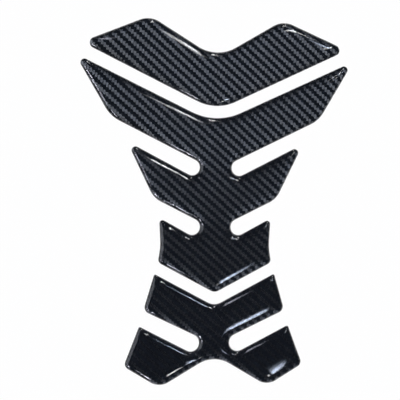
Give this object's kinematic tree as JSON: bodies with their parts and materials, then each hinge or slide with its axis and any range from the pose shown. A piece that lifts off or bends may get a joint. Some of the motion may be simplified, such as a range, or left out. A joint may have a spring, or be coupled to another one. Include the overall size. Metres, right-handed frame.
{
  "type": "motorcycle tank pad",
  "caption": "Set of glossy gel-domed, carbon-look stickers with raked ribs that lie in line on a motorcycle's fuel tank.",
  "frame": {"origin": "below the middle of the set, on the plane of the adhesive backs", "axes": "+Z off the tank, through the domes; +Y up the middle line of the set, from the feet of the tail to the chevron; +X to the right"},
  "size_m": [0.1384, 0.185, 0.0023],
  "materials": {
    "film": "silver-grey metallised film under the print",
    "print": "black ink",
    "gel": "clear cast resin, high gloss"
  },
  "bodies": {
    "root": {"chevron_film": "film", "chevron_print": "print", "chevron_dome": "gel", "spine_film": "film", "spine_print": "print", "spine_dome": "gel", "tail_film": "film", "tail_print": "print", "tail_dome": "gel"}
  },
  "joints": []
}
